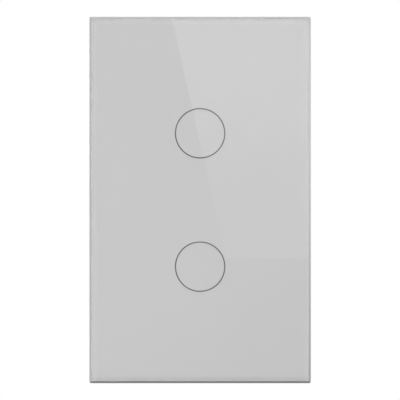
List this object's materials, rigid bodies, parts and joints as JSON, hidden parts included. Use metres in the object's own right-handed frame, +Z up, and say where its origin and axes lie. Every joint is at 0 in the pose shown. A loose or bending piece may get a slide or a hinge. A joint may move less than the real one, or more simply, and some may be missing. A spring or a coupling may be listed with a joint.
{
  "type": "light switch",
  "caption": "Flush wall light switch: a tall grey glass touch panel with ring marks, clipped over a steel yoke, with relays, supply and wire clamps in a box behind it.",
  "frame": {"origin": "on the wall surface, where the back of the yoke rests, midway between the two wall-screw slots", "axes": "+X to the right seen from the room, +Y into the wall, +Z up"},
  "size_m": [0.0724, 0.0366, 0.12],
  "materials": {
    "glass": "clear toughened glass, ground bevels",
    "grey_print": "pale grey enamel print behind the glass",
    "ring_ink": "dark translucent print",
    "foam_tape": "thin black foam tape",
    "pale_plastic": "moulded pale grey, fine grain",
    "white_plastic": "moulded white, flame retardant",
    "zinc_steel": "bright zinc plate",
    "spring_steel": "bare spring strip and wire",
    "screw_steel": "nickel plate",
    "circuit_board": "green solder mask",
    "radio_board": "black solder mask",
    "shield": "pressed tin-plated can",
    "milky_plastic": "milky diffusing plastic",
    "led_package": "white with a yellow lens",
    "black_plastic": "moulded black",
    "chip_epoxy": "moulded epoxy",
    "chip_ceramic": "tan ceramic with tinned ends",
    "gold_pins": "gold flash",
    "brass": "bright brass",
    "relay_case": "moulded blue",
    "relay_iron": "nickel-plated soft iron",
    "bobbin_plastic": "natural nylon",
    "copper_wire": "enamelled copper wire",
    "yellow_tape": "polyester tape",
    "ferrite": "ground ferrite",
    "can_sleeve": "shrink sleeve on an aluminium can",
    "film_case": "moulded yellow",
    "varistor_blue": "dipped blue epoxy",
    "fuse_case": "moulded brown",
    "terminal_plastic": "moulded green"
  },
  "bodies": {
    "base": {"panel_clips": "spring_steel", "mounting_yoke": "zinc_steel", "front_frame": "white_plastic", "case_screws": "screw_steel", "board_screws": "screw_steel", "touch_board": "circuit_board", "ring_leds": "led_package", "touch_controller": "chip_epoxy", "touch_board_passives": "chip_ceramic", "radio_module_board": "radio_board", "radio_shield": "shield", "board_header": "black_plastic", "header_pins": "gold_pins", "board_socket": "black_plastic", "transformer_core": "ferrite", "transformer_bobbin": "black_plastic", "transformer_winding": "yellow_tape", "bulk_capacitors": "can_sleeve", "output_capacitor": "can_sleeve", "filter_capacitor": "film_case", "varistor": "varistor_blue", "fuse": "fuse_case", "bridge_rectifier": "chip_epoxy", "converter_chip": "chip_epoxy", "power_board": "circuit_board", "terminal_block": "terminal_plastic", "terminal_bars": "brass", "rear_housing": "white_plastic", "touch_spring_upper": "gold_pins", "light_guide_upper": "milky_plastic", "touch_spring_lower": "gold_pins", "light_guide_lower": "milky_plastic", "relay_base_left": "black_plastic", "relay_case_left": "relay_case", "relay_iron_left": "relay_iron", "relay_bobbin_left": "bobbin_plastic", "relay_winding_left": "copper_wire", "relay_contacts_left": "brass", "relay_base_right": "black_plastic", "relay_case_right": "relay_case", "relay_iron_right": "relay_iron", "relay_bobbin_right": "bobbin_plastic", "relay_winding_right": "copper_wire", "relay_contacts_right": "brass"},
    "front_panel": {"glass_panel": "glass", "back_print": "grey_print", "ring_marks": "ring_ink", "adhesive_frame": "foam_tape", "panel_carrier": "pale_plastic"},
    "armature_left": {"relay_armature_left": "relay_iron"},
    "armature_right": {"relay_armature_right": "relay_iron"},
    "screw_1": {"terminal_screw_1": "screw_steel"},
    "cage_1": {"terminal_cage_1": "zinc_steel"},
    "screw_2": {"terminal_screw_2": "screw_steel"},
    "cage_2": {"terminal_cage_2": "zinc_steel"},
    "screw_3": {"terminal_screw_3": "screw_steel"},
    "cage_3": {"terminal_cage_3": "zinc_steel"},
    "screw_4": {"terminal_screw_4": "screw_steel"},
    "cage_4": {"terminal_cage_4": "zinc_steel"}
  },
  "joints": [
    {"name": "panel_release", "type": "slide", "parent": "base", "child": "front_panel", "axis": [0, -1, 0], "range_m": [0, 0.025], "deforming": ["panel_clips"]},
    {"name": "relay_left_armature", "type": "hinge", "parent": "base", "child": "armature_left", "pos_m": [-0.0082, 0.01795, -0.01625], "axis": [1, 0, 0], "range_deg": [0, 4], "stiffness_Nm_per_rad": 0.006, "springref_deg": -5.73},
    {"name": "relay_right_armature", "type": "hinge", "parent": "base", "child": "armature_right", "pos_m": [0.0082, 0.01795, -0.01625], "axis": [1, 0, 0], "range_deg": [0, 4], "stiffness_Nm_per_rad": 0.006, "springref_deg": -5.73},
    {"name": "terminal_screw_1_turn", "type": "hinge", "parent": "base", "child": "screw_1", "pos_m": [-0.01125, 0.019, -0.02695], "axis": [0, -1, 0], "range_deg": [0, 1728]},
    {"name": "terminal_cage_1_slide", "type": "slide", "parent": "base", "child": "cage_1", "axis": [0, 1, 0], "range_m": [0, 0.0024]},
    {"name": "terminal_screw_2_turn", "type": "hinge", "parent": "base", "child": "screw_2", "pos_m": [-0.00375, 0.019, -0.02695], "axis": [0, -1, 0], "range_deg": [0, 1728]},
    {"name": "terminal_cage_2_slide", "type": "slide", "parent": "base", "child": "cage_2", "axis": [0, 1, 0], "range_m": [0, 0.0024]},
    {"name": "terminal_screw_3_turn", "type": "hinge", "parent": "base", "child": "screw_3", "pos_m": [0.00375, 0.019, -0.02695], "axis": [0, -1, 0], "range_deg": [0, 1728]},
    {"name": "terminal_cage_3_slide", "type": "slide", "parent": "base", "child": "cage_3", "axis": [0, 1, 0], "range_m": [0, 0.0024]},
    {"name": "terminal_screw_4_turn", "type": "hinge", "parent": "base", "child": "screw_4", "pos_m": [0.01125, 0.019, -0.02695], "axis": [0, -1, 0], "range_deg": [0, 1728]},
    {"name": "terminal_cage_4_slide", "type": "slide", "parent": "base", "child": "cage_4", "axis": [0, 1, 0], "range_m": [0, 0.0024]}
  ],
  "couplings": [
    {"joint": "terminal_screw_1_turn", "follows": "terminal_cage_1_slide", "rad_per_m": 12566},
    {"joint": "terminal_screw_2_turn", "follows": "terminal_cage_2_slide", "rad_per_m": 12566},
    {"joint": "terminal_screw_3_turn", "follows": "terminal_cage_3_slide", "rad_per_m": 12566},
    {"joint": "terminal_screw_4_turn", "follows": "terminal_cage_4_slide", "rad_per_m": 12566}
  ]
}
